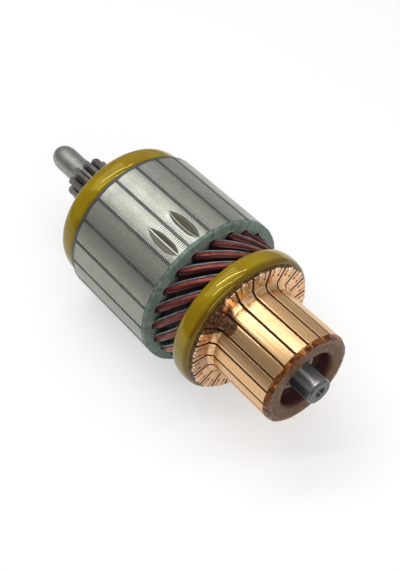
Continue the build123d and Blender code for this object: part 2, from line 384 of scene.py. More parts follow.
shaft_place = round_the_shaft()
line_distance = from_lines()
blotch = blotches()
streak = streaks()
sheets = sheet_edges()


class Finish(Nodes):
    """A material in the making, with its place on the shaft ready to use."""

    def __init__(self, name):
        self.material = bpy.data.materials.new(name)
        self.material.use_nodes = True
        super().__init__(self.material.node_tree)
        self.shader = self.tree.nodes["Principled BSDF"]
        self.position = self.add("ShaderNodeTexCoord").outputs["Object"]
        found = self.group(shaft_place, {"Position": self.position})
        self.along, self.radius, self.turn = found["Along"], found["Radius"], found["Turn"]

    def blotch(self, size, low=0.4, high=0.6, detail=3.0):
        sizes = {"Position": self.position, "Size": size, "Low": low, "High": high, "Detail": detail}
        return self.group(blotch, sizes)["Mask"]

    def cloudy(self, size, a, b):
        """Two colours that go into each other in clouds of a size in millimetres."""
        return self.blend(self.blotch(size, 0.35, 0.65), a, b)

    def streak(self, per_mm, per_degree):
        sizes = {"Along": self.along, "Turn": self.turn, "Per mm": per_mm, "Per degree": per_degree}
        return self.group(streak, sizes)["Mask"]

    def lines(self, first):
        sizes = {"Turn": self.turn, "Radius": self.radius, "Count": slots, "First": first}
        return self.group(line_distance, sizes)

    def across(self):
        """Where a point is across a swept section, from 0 to 1."""
        return self.add("ShaderNodeAttribute", attribute_name="side").outputs["Fac"]

    def both(self, a, b):
        return self.times(a, b)

    def either(self, a, b):
        return self.math("MAXIMUM", a, b)

    def patch(self, centre, radius, soft):
        """A mask round one place on the part, 1 inside the radius."""
        gap = self.add("ShaderNodeVectorMath", {0: self.position, 1: centre}, operation="DISTANCE")
        return self.step(gap.outputs["Value"], radius + soft, radius)

    def bump(self, height, strength, depth):
        node = self.add("ShaderNodeBump", {"Strength": strength, "Distance": depth, "Height": height})
        self.set("Normal", node.outputs[0])

    def tint(self, colour, mask, amount, new):
        """Mixes a new colour into another by an amount, where the mask is 1."""
        return self.blend(self.between(mask, 0, amount), colour, new)

    def set(self, name, value):
        self.feed(self.shader.inputs[name], value)

    def wear(self, colour, roughness):
        self.set("Base Color", colour)
        self.set("Roughness", roughness)


# Finishes

def core_steel_finish():
    """Ground sheet steel: the sheets' edges show as fine lines, and as a comb along every slot. Painted
    shade lies on the teeth past shade_turn and inside the slots.
    """
    f = Finish("ground core sheets")
    slot_gap = f.lines(first_slot)["Distance"]
    spacing, joint_share = 0.95, 0.45
    sheet = f.group(sheets, {"Along": f.along, "Spacing": spacing, "Joint": joint_share})["Mask"]
    joint = f.less(1, sheet)
    cloud = f.blotch(9, 0.2, 0.8)
    steel = f.blend(cloud, (0.43, 0.435, 0.375), (0.51, 0.515, 0.45))
    steel = f.tint(steel, f.blotch(1.4, 0.45, 0.7), 0.35, (0.68, 0.69, 0.61))
    # Painted shade on the teeth past shade_turn and below a turn of 0; the comb's bright sheets fade in
    # it.
    teeth_painted_shade = f.either(f.step(f.turn, shade_turn, shade_turn + 14), f.step(f.turn, 0, -60))
    steel = f.tint(steel, teeth_painted_shade, 0.55, (0.22, 0.222, 0.185))
    steel = f.tint(steel, f.streak(5, 0.02), 0.35, (0.28, 0.285, 0.25))
    stain = f.both(f.blotch(2.6, 0.56, 0.7), f.blotch(17, 0.42, 0.6))
    steel = f.tint(steel, stain, 0.4, (0.26, 0.26, 0.22))
    near = f.both(f.step(slot_gap, 3.2, 1.7), f.between(f.step(f.along, -88, -68), 0.7, 0.95))
    near = f.both(near, f.between(teeth_painted_shade, 1.0, 0.6))
    steel = f.tint(steel, f.both(sheet, near), 0.55, (0.8, 0.81, 0.72))
    steel = f.blend(f.both(joint, f.between(near, 0.16, 0.9)), steel, (0.08, 0.085, 0.08))
    # The balancing cuts are painted: painted shade on one side and round the rim, a painted highlight on
    # the ridge, and a lighter side that is painted lighter on the second cut, as painted light.
    cut, second, painted_shade_side, ridge, rim = balance_cut(f)
    painted_light_side = f.blend(second, (0.125, 0.12, 0.095), (0.18, 0.175, 0.145))
    steel = f.blend(cut, steel, painted_light_side)
    steel = f.blend(painted_shade_side, steel, (0.135, 0.13, 0.1))
    steel = f.tint(steel, rim, 0.65, (0.06, 0.058, 0.045))
    steel = f.blend(ridge, steel, (0.95, 0.95, 0.88))
    # Painted shade inside the slots and along their mouths.
    mouth = f.both(f.step(slot_gap, 0.95, 0.8), f.step(f.radius, 36.78, 36.68))
    slot_painted_shade = f.either(f.step(f.radius, 34.8, 34.6), mouth)
    colour = f.blend(slot_painted_shade, steel, (0.05, 0.06, 0.06))
    f.set("Metallic", f.between(f.either(slot_painted_shade, cut), 0.9, 0.1))
    f.set("Specular IOR Level", f.between(cut, 0.5, 0.12))
    f.wear(colour, f.between(cloud, 0.38, 0.30))
    f.bump(f.streak(6, 0.02), 0.35, 0.07 * mm)
    return f.material


def balance_cut(f):
    """The two ground balancing cuts, on two teeth, painted as leaves: painted shade on one side and
    round the rim, a lighter side, and a painted highlight along the ridge.
    """
    offset = f.lines(first_bar)["Offset"]
    opening = 1.0
    for tip, full_width in ((-80.3, -70.8), (-59.7, -66.7)):
        share = f.ramp(f.along, tip, full_width)
        rounded = f.times(share, f.less(2, share))
        opening = f.times(opening, rounded)
    first_edge, border, last_edge = 90.0, 107, 124.3
    second = f.step(f.turn, border - 1, border + 1)
    lower = f.step(offset, -0.1, 0.1)
    upper_reach = f.between(second, 2.8, 2.3)
    lower_reach = f.between(second, 2.4, 3.0)
    reach = f.times(opening, f.between(lower, upper_reach, lower_reach))
    beyond = f.less(f.math("ABSOLUTE", offset), reach)
    within = f.step(f.turn, last_edge, last_edge - 0.2)
    teeth = f.both(f.step(f.turn, first_edge, first_edge + 0.2), within)
    cut = f.both(f.step(beyond, 0.12, -0.12), teeth)
    ridge_place = f.times(opening, f.between(second, 0.64, 0.16))
    from_ridge = f.less(offset, ridge_place)
    # The side past the ridge takes painted shade.
    painted_shade_side = f.both(cut, f.step(from_ridge, 0.1, -0.1))
    # A painted highlight along the ridge.
    ridge = f.both(cut, f.step(f.math("ABSOLUTE", from_ridge), 0.34, 0.14))
    ridge = f.both(ridge, f.step(opening, 0.05, 0.2))
    # Painted shade round the rim of the cut.
    rim = f.both(cut, f.step(beyond, -0.55, -0.15))
    return cut, second, painted_shade_side, ridge, rim


def coat_finish():
    """A fused coat of insulating powder, thicker along its edges, where a painted highlight makes its
    rim and slot seams paler; painted shade lies at its outermost edge, next to the teeth.
    """
    f = Finish("fused insulating coat")
    slot_gap = f.lines(first_slot)["Distance"]
    base = f.cloudy(5, (0.155, 0.205, 0.165), (0.225, 0.275, 0.22))
    # Painted highlights on the rounded rim and along the slot seams.
    rim = f.both(f.step(f.radius, 36.1, 36.4), f.step(f.radius, 36.72, 36.6))
    seam = f.both(f.step(slot_gap, 1.5, 1.1), f.step(slot_gap, 0.7, 0.9))
    edge = f.either(rim, f.both(seam, f.step(f.radius, 33.0, 33.6)))
    colour = f.tint(base, edge, 0.7, (0.215, 0.285, 0.245))
    # Painted shade at the outermost edge, next to the teeth.
    colour = f.blend(f.step(f.radius, 36.65, 36.75), colour, (0.095, 0.12, 0.105))
    rear_rim = f.both(f.step(f.along, -108.0, -110.0), f.step(f.radius, 35.9, 36.4))
    colour = f.blend(rear_rim, colour, (0.075, 0.056, 0.05))
    f.wear(colour, f.between(f.blotch(3), 0.42, 0.3))
    f.set("Specular Tint", (0.6, 1.0, 0.85))
    f.bump(f.blotch(2.2, 0.2, 0.8), 0.5, 0.12 * mm)
    return f.material


def slot_fill_finish():
    """The lacquer that closes the slots."""
    f = Finish("slot lacquer")
    colour = f.cloudy(4, (0.052, 0.062, 0.056), (0.078, 0.09, 0.082))
    colour = f.blend(f.step(f.along, -60.4, -59.7), colour, (0.115, 0.165, 0.14))
    f.wear(colour, f.between(f.blotch(2), 0.45, 0.3))
    f.bump(f.blotch(1.5, 0.2, 0.8), 0.6, 0.15 * mm)
    return f.material


def copper_finish():
    """Turned commutator copper: bright on the track, stained at the risers, lacquered at the front. It
    carries painted light and shade on the risers, painted highlights along the bars' edges and round the
    conductors' ends, and painted shade past shade_turn and in the small gaps.
    """
    f = Finish("turned commutator copper")
    gap = f.lines(first_slot)["Distance"]
    bar = f.lines(first_bar)
    tone = f.add("ShaderNodeTexWhiteNoise", {"W": bar["Number"]}, noise_dimensions="1D").outputs["Value"]
    copper = f.cloudy(14, (0.87, 0.54, 0.265), (0.91, 0.58, 0.295))
    copper = f.tint(copper, tone, 0.3, (0.78, 0.455, 0.25))
    copper = f.tint(copper, f.streak(0.03, 1.6), 0.35, (0.7, 0.41, 0.21))
    copper = f.tint(copper, f.streak(0.015, 0.4), 0.4, (0.68, 0.41, 0.2))
    shaded = f.both(f.step(f.turn, shade_turn, shade_turn + 2), f.step(f.radius, 23.4, 22.6))
    copper = f.tint(copper, shaded, 0.5, (0.62, 0.39, 0.2))
    riser = f.both(f.step(f.along, -31.6, -32.1), f.step(f.radius, 23.0, 24.0))
    copper = f.tint(copper, riser, 0.5, (0.8, 0.46, 0.28))
    mottle = f.both(riser, f.blotch(2.6, 0.50, 0.70, 1.0))
    # Painted light on the risers round turns of 95 and 106, and painted shade on them round a turn of
    # 178.
    glow = f.both(riser, f.patch(place(riser_front, 95, 28.5 * mm), 6.5 * mm, 5 * mm))
    copper = f.blend(glow, copper, (1.0, 0.76, 0.5))
    painted_warm_light = f.both(riser, f.patch(place(riser_front, 106, 27.5 * mm), 2.2 * mm, 3 * mm))
    copper = f.tint(copper, painted_warm_light, 0.8, (1.0, 0.6, 0.2))
    dull = f.both(riser, f.patch(place(riser_front, 178, 28 * mm), 7 * mm, 5 * mm))
    copper = f.tint(copper, dull, 0.75, (0.46, 0.25, 0.15))
    root = f.both(f.step(f.along, -27.2, -30.4), f.step(f.radius, 24.5, 22.6))
    root = f.both(root, f.blotch(1.9, 0.45, 0.62))
    copper = f.tint(copper, root, 0.5, (0.42, 0.18, 0.06))
    speck = f.blotch(0.9, 0.71, 0.74, 1.0)
    copper = f.tint(copper, speck, 0.6, (0.2, 0.08, 0.03))
    # A painted highlight along the bars' edges beside the slots.
    edge = f.both(f.step(gap, 0.95, 0.8), f.step(gap, 0.6, 0.7))
    copper = f.tint(copper, edge, 0.5, (1.0, 0.8, 0.52))
    hole, seam, rim, between_ends = conductor_marks(f, bar["Distance"], riser)
    # A painted highlight on the riser's rim over each conductor's end.
    copper = f.tint(copper, rim, 0.6, (1.0, 0.82, 0.58))
    copper = f.tint(copper, between_ends, 0.35, (0.4, 0.2, 0.1))
    behind = f.both(f.step(f.along, -32.2, -32.5), f.step(f.radius, 31.25, 31.4))
    wide = f.between(riser, 0.52, 0.66)
    slot = f.step(f.less(gap, wide), 0.07, -0.07)
    # Painted shade in the holes and in the seams round the conductors' ends; the tops behind the riser
    # tips and the slots are painted dark brown too.
    dark = f.either(f.either(hole, seam), f.either(slot, behind))
    copper = f.tint(copper, dark, 0.94, (0.12, 0.042, 0.004))
    wall = f.step(f.radius, 21.85, 21.6)
    copper = f.blend(f.both(wall, f.step(f.along, 0.6, 0.0)), copper, (0.16, 0.06, 0.025))
    lacquer = f.step(f.along, -0.15, 0.15)
    amber = f.cloudy(2.4, (0.3, 0.085, 0.018), (0.47, 0.19, 0.06))
    copper = f.blend(lacquer, copper, amber)
    spill, varnish = spilt_varnish(f)
    copper = f.tint(copper, spill, 0.95, varnish)
    coated = f.either(lacquer, spill)
    f.set("Metallic", f.between(f.either(coated, dark), 1.0, 0.1))
    f.wear(copper, f.between(f.either(coated, f.between(mottle, 0, 0.3)), 0.30, 0.40))
    f.set("Specular IOR Level", f.between(coated, 0.5, 0.1))
    f.set("Coat Weight", f.between(lacquer, 0, 0.2))
    f.set("Coat Roughness", 0.08)
    f.bump(f.streak(7, 0.02), 0.06, 0.06 * mm)
    return f.material


def conductor_marks(f, from_bar, riser):
    """What shows of a conductor's end in its riser: painted shade in the holes and the seam beside it, a
    painted highlight on the rim above it, and the gap beside it.
    """
    hole_radius, hole_side, seam_side, round_radius = 28.0, 1.95, 1.98, 30.15
    # Painted shade in the small holes beside the end.
    up = f.times(f.less(f.radius, hole_radius), 0.55)
    side = f.less(from_bar, hole_side)
    hole = f.math("ADD", f.times(up, up), f.times(side, side))
    hole = f.step(hole, 0.36, 0.14)
    # Painted shade in the seam round the end.
    seam = f.step(f.apart(from_bar, seam_side), 0.46, 0.26)
    seam = f.both(seam, f.between(f.step(f.radius, 28.6, 29.4), 0.2, 1.0))
    # A painted highlight on the rim above the end.
    above = f.less(f.radius, round_radius)
    square = f.math("ADD", f.times(above, above), f.times(from_bar, from_bar))
    from_middle = f.math("SQRT", square)
    rim = f.both(f.step(from_middle, 1.15, 1.35), f.step(f.radius, 30.0, 30.4))
    between_ends = f.both(f.step(from_bar, 2.2, 2.5), f.step(f.radius, 29.4, 30.4))
    return [f.both(mask, riser) for mask in (hole, seam, rim, between_ends)]


def spilt_varnish(f):
    """The dark varnish run over a few risers and bars, with its orange spots and pale chips."""
    spill = f.either(f.patch(place(riser_front, 132, 28 * mm), 7 * mm, 1.6 * mm),
                     f.patch(place(-29.4 * mm, 133, 22.4 * mm), 3.6 * mm, 0.9 * mm))
    spill = f.both(spill, f.between(f.blotch(1.6, 0.36, 0.46), 0.7, 1.0))
    varnish = f.blend(f.blotch(1.8, 0.42, 0.58), (0.028, 0.009, 0.005), (0.12, 0.042, 0.02))
    spots = f.either(f.patch(place(riser_front, 120, 28.3 * mm), 0.9 * mm, 1.2 * mm),
                     f.patch(place(riser_front, 124.5, 26 * mm), 0.5 * mm, 0.9 * mm))
    varnish = f.blend(spots, varnish, (0.8, 0.28, 0.08))
    chips = f.either(f.patch(place(-30.5 * mm, 119, 24.0 * mm), 0.5 * mm, 0.5 * mm),
                     f.patch(place(riser_front, 118, 29.6 * mm), 0.4 * mm, 0.5 * mm))
    return spill, f.blend(chips, varnish, (1.0, 0.72, 0.56))


def moulding_finish():
    """Brown moulding resin: amber where it shows between the bars, greyer and matt at the front, and
    darker in the hollow, partly its own colour and partly painted shade.
    """
    f = Finish("brown moulding resin")
    base = f.cloudy(3, (0.125, 0.064, 0.03), (0.17, 0.094, 0.048))
    gaps = f.step(f.along, 1.9, 1.5)
    outside = f.both(gaps, f.step(f.radius, 18.0, 19.0))
    colour = f.blend(outside, base, (0.13, 0.05, 0.016))
    # Darker in the hollow: partly the resin's colour, partly painted shade.
    inside = f.both(gaps, f.step(f.radius, 14.5, 14.2))
    colour = f.blend(inside, colour, (0.075, 0.03, 0.03))
    f.wear(colour, f.between(f.blotch(2), 0.5, 0.36))
    f.set("Specular IOR Level", 0.15)
    f.set("Specular Tint", (1.0, 0.6, 0.35))
    f.bump(f.blotch(0.8, 0.2, 0.8), 0.4, 0.1 * mm)
    return f.material


def lacquer_finish():
    """Amber lacquer that has run over the ends of the bars."""
    f = Finish("amber lacquer")
    colour = f.blend(f.blotch(2.2, 0.38, 0.62), (0.08, 0.026, 0.008), (0.2, 0.07, 0.022))
    colour = f.tint(colour, f.blotch(1.0, 0.55, 0.7), 0.7, (0.04, 0.014, 0.006))
    colour = f.tint(colour, f.blotch(2.0, 0.62, 0.70, 1.0), 0.6, (0.42, 0.16, 0.045))
    f.wear(colour, f.between(f.blotch(1.5), 0.1, 0.22))
    f.set("Specular IOR Level", 0.25)
    f.set("Specular Tint", (1.0, 0.5, 0.2))
    f.bump(f.blotch(1.4, 0.2, 0.8), 0.6, 0.3 * mm)
    return f.material


def wire_finish():
    """Wire in dark red enamel, with a painted highlight along one side of each wire, and painted shade
    along the other side and on the wires past a turn of 120.
    """
    f = Finish("red wire enamel")
    colour = f.cloudy(4, (0.2, 0.03, 0.024), (0.34, 0.062, 0.048))
    side = f.across()
    # A painted highlight along one side of each wire.
    off_line = f.apart(side, 0.66)
    line = f.both(f.step(off_line, 0.13, 0.04), f.between(f.blotch(6, 0.4, 0.6), 0.45, 1.0))
    colour = f.tint(colour, line, 0.9, (0.66, 0.24, 0.15))
    # Painted shade along the other side, and on the wires past a turn of 120.
    colour = f.tint(colour, f.step(side, 0.45, 0.12), 0.9, (0.012, 0.004, 0.006))
    colour = f.tint(colour, f.step(f.turn, 120, 146), 0.55, (0.115, 0.03, 0.034))
    f.set("Metallic", 0.35)
    f.set("Specular Tint", (1.0, 0.55, 0.45))
    f.wear(colour, f.between(f.blotch(3), 0.2, 0.32))
    f.set("Coat Weight", 0.1)
    f.set("Coat Roughness", 0.05)
    f.bump(f.blotch(3.0, 0.2, 0.8, 1.0), 0.15, 0.2 * mm)
    return f.material


def paper_finish():
    """Slot paper under lacquer, grey with a blue cast, with a painted highlight along the top of each
    fold.
    """
    f = Finish("lacquered slot paper")
    colour = f.cloudy(3, (0.06, 0.062, 0.076), (0.12, 0.125, 0.14))
    side = f.across()
    # A painted highlight along the top of each fold.
    crest_highlight = f.step(f.apart(side, 0.2), 0.13, 0.05)
    colour = f.tint(colour, f.both(crest_highlight, f.blotch(5, 0.35, 0.55)), 0.8, (0.42, 0.42, 0.42))
    f.wear(colour, f.between(f.blotch(2), 0.3, 0.45))
    f.set("Coat Weight", 0.5)
    f.set("Coat Roughness", 0.12)
    f.bump(f.blotch(1.6, 0.2, 0.8), 0.5, 0.2 * mm)
    return f.material


def shadow_finish():
    """Black paint at the bottom of the gaps, as painted shade."""
    f = Finish("black painted gap shade")
    colour = f.blend(f.blotch(2.5), (0.01, 0.011, 0.014), (0.022, 0.022, 0.026))
    f.wear(colour, f.between(f.blotch(2), 0.5, 0.7))
    return f.material


def band_finish():
    """Glass thread in yellow resin with a glossy skin, browner where the resin is thick."""
    f = Finish("yellow band resin")
    cloud = f.blotch(7, 0.3, 0.7)
    colour = f.blend(cloud, (0.245, 0.155, 0.001), (0.33, 0.222, 0.001))
    brown = f.blotch(22, 0.46, 0.66, 1.0)
    colour = f.tint(colour, brown, 0.5, (0.24, 0.125, 0.003))
    front_middle, rear_middle = -38.7, -117.4
    rear_band = f.step(f.along, -100.0, -101.0)
    middle = f.between(rear_band, front_middle, rear_middle)
    sides = f.step(f.apart(f.along, middle), 3.4, 5.2)
    colour = f.tint(colour, sides, 0.6, (0.2, 0.1, 0.003))
    foot = f.step(f.along, -36.9, -34.9)
    colour = f.tint(colour, foot, 0.8, (0.08, 0.034, 0.003))
    thread = f.streak(3.2, 0.01)
    colour = f.tint(colour, thread, 0.18, (0.4, 0.29, 0.01))
    f.wear(colour, f.between(cloud, 0.03, 0.07))
    f.set("IOR", 1.6)
    f.set("Specular Tint", (1.0, 0.88, 0.25))
    f.bump(f.blotch(8, 0.2, 0.8, 1.0), 0.2, 0.6 * mm)
    return f.material


def brown_paper_finish():
    """Brown insulation under the front band, wet with lacquer."""
    f = Finish("brown insulation step")
    colour = f.cloudy(2.4, (0.03, 0.013, 0.004), (0.085, 0.04, 0.01))
    f.wear(colour, f.between(f.blotch(1.2), 0.12, 0.4))
    f.set("Specular Tint", (1.0, 0.6, 0.3))
    f.bump(f.blotch(1.8, 0.2, 0.8, 1.0), 0.7, 0.5 * mm)
    return f.material


def shaft_finish():
    """Shaft steel: ground at the commutator end, dark on the gear, dull at the domed end, painted darker
    on its chamfer and end face. The journal has painted shade on its far side and a painted highlight
    streak; the centre hole has painted shade and a painted glint.
    """
    f = Finish("shaft steel")
    tail_start, gear_start, journal_start, chamfer, face = -152.0, -128.0, -6.0, 8.5, 9.5
    cloud = f.blotch(4, 0.3, 0.7)
    tail = f.step(f.along, tail_start, tail_start - 1.5)
    gear = f.both(f.step(f.along, gear_start, gear_start - 2), f.less(1, tail))
    steel = f.blend(cloud, (0.3, 0.31, 0.31), (0.38, 0.39, 0.385))
    pale = f.blend(cloud, (0.31, 0.315, 0.285), (0.42, 0.425, 0.385))
    pale = f.tint(pale, f.streak(0.3, 0.5), 0.4, (0.26, 0.26, 0.235))
    dark = f.blend(f.blotch(3, 0.4, 0.6), (0.155, 0.155, 0.15), (0.23, 0.195, 0.175))
    journal = f.step(f.along, journal_start, journal_start + 2)
    bright = f.blend(f.streak(0.02, 0.035), (0.2, 0.21, 0.215), (0.4, 0.41, 0.395))
    # Painted shade on the journal past shade_turn.
    bright = f.blend(f.step(f.turn, shade_turn + 1, shade_turn + 11), bright, (0.075, 0.085, 0.105))
    # A painted highlight streak along the journal round a turn of 104.
    highlight_turn = 104
    from_highlight = f.apart(f.turn, highlight_turn)
    bright = f.blend(f.step(from_highlight, 11, 4), bright, (0.9, 0.91, 0.86))
    colour = f.blend(gear, f.blend(tail, f.blend(journal, steel, bright), pale), dark)
    scratch = f.streak(0.4, 1.4)
    colour = f.tint(colour, scratch, 0.2, (0.2, 0.2, 0.2))
    # The chamfer and the end face are painted darker.
    colour = f.blend(f.step(f.along, chamfer, chamfer + 0.3), colour, (0.13, 0.135, 0.135))
    colour = f.blend(f.step(f.along, face, face + 0.15), colour, (0.075, 0.08, 0.08))
    # Painted shade in and round the centre hole, with a painted glint in it.
    hole = f.both(f.step(f.along, 5.0, 5.4), f.step(f.radius, 3.2, 2.9))
    painted_glint = f.patch((8.6 * mm, -0.9 * mm, -0.3 * mm), 1.2 * mm, 1 * mm)
    painted_glint = f.both(painted_glint, f.blotch(0.7, 0.42, 0.56))
    inside = f.blend(painted_glint, (0.016, 0.018, 0.018), (0.4, 0.42, 0.38))
    colour = f.tint(colour, hole, 0.95, inside)
    f.set("Metallic", f.both(f.between(journal, 0.95, 0.55), f.between(hole, 1.0, 0.1)))
    f.wear(colour, f.between(f.either(tail, gear), 0.22, 0.42))
    f.bump(f.streak(9, 0.02), 0.12, 0.04 * mm)
    return f.material


def bush_finish():
    """The pale bush between the moulding and the shaft."""
    f = Finish("pale bush")
    colour = f.cloudy(1.6, (0.34, 0.27, 0.17), (0.5, 0.43, 0.29))
    f.set("Metallic", 0.3)
    f.wear(colour, f.between(f.blotch(1.0), 0.35, 0.5))
    f.bump(f.blotch(0.9, 0.2, 0.8), 0.4, 0.1 * mm)
    return f.material


finishes = {
    "core": core_steel_finish(),
    "coat": coat_finish(),
    "slot_fill": slot_fill_finish(),
    "copper": copper_finish(),
    "moulding": moulding_finish(),
    "lacquer": lacquer_finish(),
    "wire": wire_finish(),
    "paper": paper_finish(),
    "gap": shadow_finish(),
    "band": band_finish(),
    "brown": brown_paper_finish(),
    "shaft": shaft_finish(),
    "bush": bush_finish(),
}


def dress(name, finish):
    """Gives a CAD node its finish."""
    node = nodes[name]
    if len(node.material_slots) == 0:
        node.data.materials.append(None)
    node.material_slots[0].link = "OBJECT"
    node.material_slots[0].material = finishes[finish]


dress("shaft", "shaft")
dress("lamination_core", "core")
dress("core_insulation", "coat")
dress("commutator_hub", "moulding")
dress("commutator_bush", "bush")
dress("layer_ring", "gap")
dress("front_band", "band")
dress("rear_band", "band")
for name in numbered("segment"):
    dress(name, "copper")
for name in numbered("coil"):
    dress(name, "wire")


# Repeats round the shaft

def copies_tree():
    """Turns copies of a mesh round the shaft, evenly spaced, and gives them their material."""
    tree = bpy.data.node_groups.new("Copies round the shaft", "GeometryNodeTree")
    kinds = {"Geometry": "Geometry", "Count": "Int", "Start turn": "Float", "Material": "Material"}
    for label, kind in kinds.items():
        tree.interface.new_socket(label, in_out="INPUT", socket_type="NodeSocket" + kind)
    tree.interface.new_socket("Geometry", in_out="OUTPUT", socket_type="NodeSocketGeometry")
    make = Nodes(tree)
    given = make.add("NodeGroupInput").outputs
    spots = make.add("GeometryNodePoints", {"Count": given["Count"]}).outputs[0]
    index = make.add("GeometryNodeInputIndex").outputs[0]
    spacing = make.math("DIVIDE", 2 * pi, given["Count"])
    angle = make.math("ADD", make.times(index, spacing), given["Start turn"])
    turn = make.add("ShaderNodeCombineXYZ", {0: angle}).outputs[0]
    rotation = make.add("FunctionNodeEulerToRotation", {0: turn}).outputs[0]
    placed = {"Points": spots, "Instance": given["Geometry"], "Rotation": rotation}
    copies = make.add("GeometryNodeInstanceOnPoints", placed).outputs[0]
    real = make.add("GeometryNodeRealizeInstances", {0: copies}).outputs[0]
    dressed = make.add("GeometryNodeSetMaterial", {"Geometry": real, "Material": given["Material"]})
    tree.links.new(dressed.outputs[0], make.add("NodeGroupOutput").inputs[0])
    return tree


copies = copies_tree()


def applied(made):
    """Replaces a piece's mesh by what its modifiers make of it."""
    bpy.context.view_layer.update()
    evaluated = made.evaluated_get(bpy.context.evaluated_depsgraph_get())
    mesh = bpy.data.meshes.new_from_object(evaluated)
    made.modifiers.clear()
    made.data = mesh
    return made


def repeated(made, start=0.0):
    """Replaces a piece's mesh by evenly spaced copies of it round the shaft."""
    modifier = made.modifiers.new("copies", "NODES")
    modifier.node_group = copies
    values = {"Count": slots, "Start turn": radians(start), "Material": made.data.materials[0]}
    for item in copies.interface.items_tree:
        if item.in_out == "INPUT" and item.name in values:
            modifier[item.identifier] = values[item.name]
    return applied(made)


# Pieces

def winding():
    """Twenty-one hairpins of round wire, bent as the coils are and pressed into their slots."""
    half = coil_span * pitch / 2
    front, straight, bend = -32.6 * mm, -38.6 * mm, -57.1 * mm
    back_bend, nose, nose_radius = -112.4 * mm, -122.9 * mm, 30.3 * mm
    lower = coil_span * pitch
    route = [
        (front, -lead, riser_upper_radius),
        (straight + 2 * mm, -lead, riser_upper_radius),
        (straight - 0.5 * mm, -lead * 0.98, riser_upper_radius),
        wire_near_riser,
        wire_near_core,
        (bend + 0.8 * mm, -lead * 0.04, slot_upper_radius),
        (bend - 1.6 * mm, 0, slot_upper_radius),
        (bend - 4 * mm, 0, slot_upper_radius),
        (back_bend + 4 * mm, 0, slot_upper_radius),
        (back_bend + 1 * mm, 0, slot_upper_radius),
        (-117.6 * mm, half / 2, slot_upper_radius),
        (nose + 1.2 * mm, half * 0.9, nose_radius),
        (nose, half * 0.99, nose_radius - 0.4 * mm),
    ]
    lower_route = [
        (nose, half * 1.01, slot_lower_radius + 0.4 * mm),
        (nose + 1.2 * mm, half * 1.1, slot_lower_radius),
        (-117.6 * mm, half * 3 / 2, slot_lower_radius),
        (back_bend + 1 * mm, lower, slot_lower_radius),
        (back_bend + 4 * mm, lower, slot_lower_radius),
        (bend - 4 * mm, lower, slot_lower_radius),
        (bend - 1 * mm, lower, slot_lower_radius),
        (-47.9 * mm, lower + lead / 2, 26.0 * mm),
        (straight - 1 * mm, lower + lead * 0.97, riser_lower_radius),
        (straight + 2 * mm, lower + lead, riser_lower_radius),
        (front, lower + lead, riser_lower_radius),
    ]
    spots = softened(route + lower_route, 2)
    points = [place(along, first_slot + turn, radius) for along, turn, radius in spots]
    work = swept(points, circle(wire_radius, 14))
    return repeated(piece("winding", work, "wire", "wire", numbered("coil")))


def band(name, rear, front, inner, edge, crown):
    """A ring of thread and resin with a domed back."""
    steps, power, middle, half = 18, 2.2, (rear + front) / 2, (front - rear) / 2
    profile = [(front, inner), (rear, inner)]
    for step in range(steps + 1):
        share = -1 + 2 * step / steps
        rise = (1 - abs(share) ** power) ** (1 / power)
        profile.append((middle + share * half, edge + (crown - edge) * rise))
    return piece(name, turned(profile), "band", "band", (name.replace("_skin", ""),), sharp=60)


def tail_cap():
    """The round dome of the shaft's far end."""
    length, radius, set_back, overlap, steps = 8.08 * mm, 6.21 * mm, 0.02 * mm, 1.0 * mm, 24
    start = shaft_rear + set_back + length
    profile = [(start + overlap, 0.0), (start + overlap, radius)]
    for step in range(steps + 1):
        share = step / steps
        profile.append((start - length * share, radius * sqrt(1 - (0.955 * share) ** 2.3)))
    profile.append((shaft_rear + set_back, 0.0))
    return piece("tail_cap", turned(profile, 96), "shaft", "shaft_steel", sharp=50)


def front_ring():
    """The smooth front of the moulding and the wall of its hollow."""
    face = bar_front + 0.04 * mm
    profile = [
        (face - 0.25 * mm, 19.2 * mm),
        (face, 18.9 * mm),
        (face, 15.0 * mm),
        (face - 0.15 * mm, 14.6 * mm),
        (face - 1.1 * mm, 13.75 * mm),
        (face - 1.6 * mm, 13.5 * mm),
        (-4.3 * mm, 13.4 * mm),
        (-4.7 * mm, 13.1 * mm),
        (-4.75 * mm, 9.5 * mm),
        (-5.3 * mm, 9.5 * mm),
        (-5.3 * mm, 19.2 * mm),
    ]
    return piece("front_ring", turned(profile), "moulding", "moulding", sharp=25)


def bush_ring():
    """The bush, as a round ring."""
    profile = [
        (-4.35 * mm, 8.12 * mm),
        (-4.15 * mm, 8.4 * mm),
        (-4.15 * mm, 9.25 * mm),
        (-4.35 * mm, 9.5 * mm),
        (riser_rear, 9.5 * mm),
        (riser_rear, 8.12 * mm),
    ]
    return piece("bush_ring", turned(profile), "bush", "bush", ("commutator_bush",))


def front_lacquer():
    """The lacquered rim over the front ends of the bars, lumpy past its inner edge."""
    inner_edge, rear_edge, lump = 20.6 * mm, 0.2 * mm, 0.09 * mm
    profile = [
        (0.05 * mm, 21.95 * mm),
        (0.25 * mm, 22.0 * mm),
        (1.2 * mm, 21.72 * mm),
        (2.15 * mm, 21.3 * mm),
        (bar_front + 0.12 * mm, 20.9 * mm),
        (bar_front + 0.10 * mm, 19.6 * mm),
        (bar_front + 0.02 * mm, 19.0 * mm),
        (bar_front - 0.5 * mm, 19.0 * mm),
        (0.05 * mm, 20.5 * mm),
    ]
    work = turned(profile, 336)
    for corner in work.verts:
        turn = atan2(corner.co.z, corner.co.y)
        rise = sin(7 * turn) + sin(13 * turn + 1.3) + sin(23 * turn + 2.1)
        if hypot(corner.co.y, corner.co.z) > inner_edge and corner.co.x > rear_edge:
            corner.co += outward(corner.co) * lump * rise
    return piece("front_lacquer", work, "lacquer", "moulding", sharp=40)


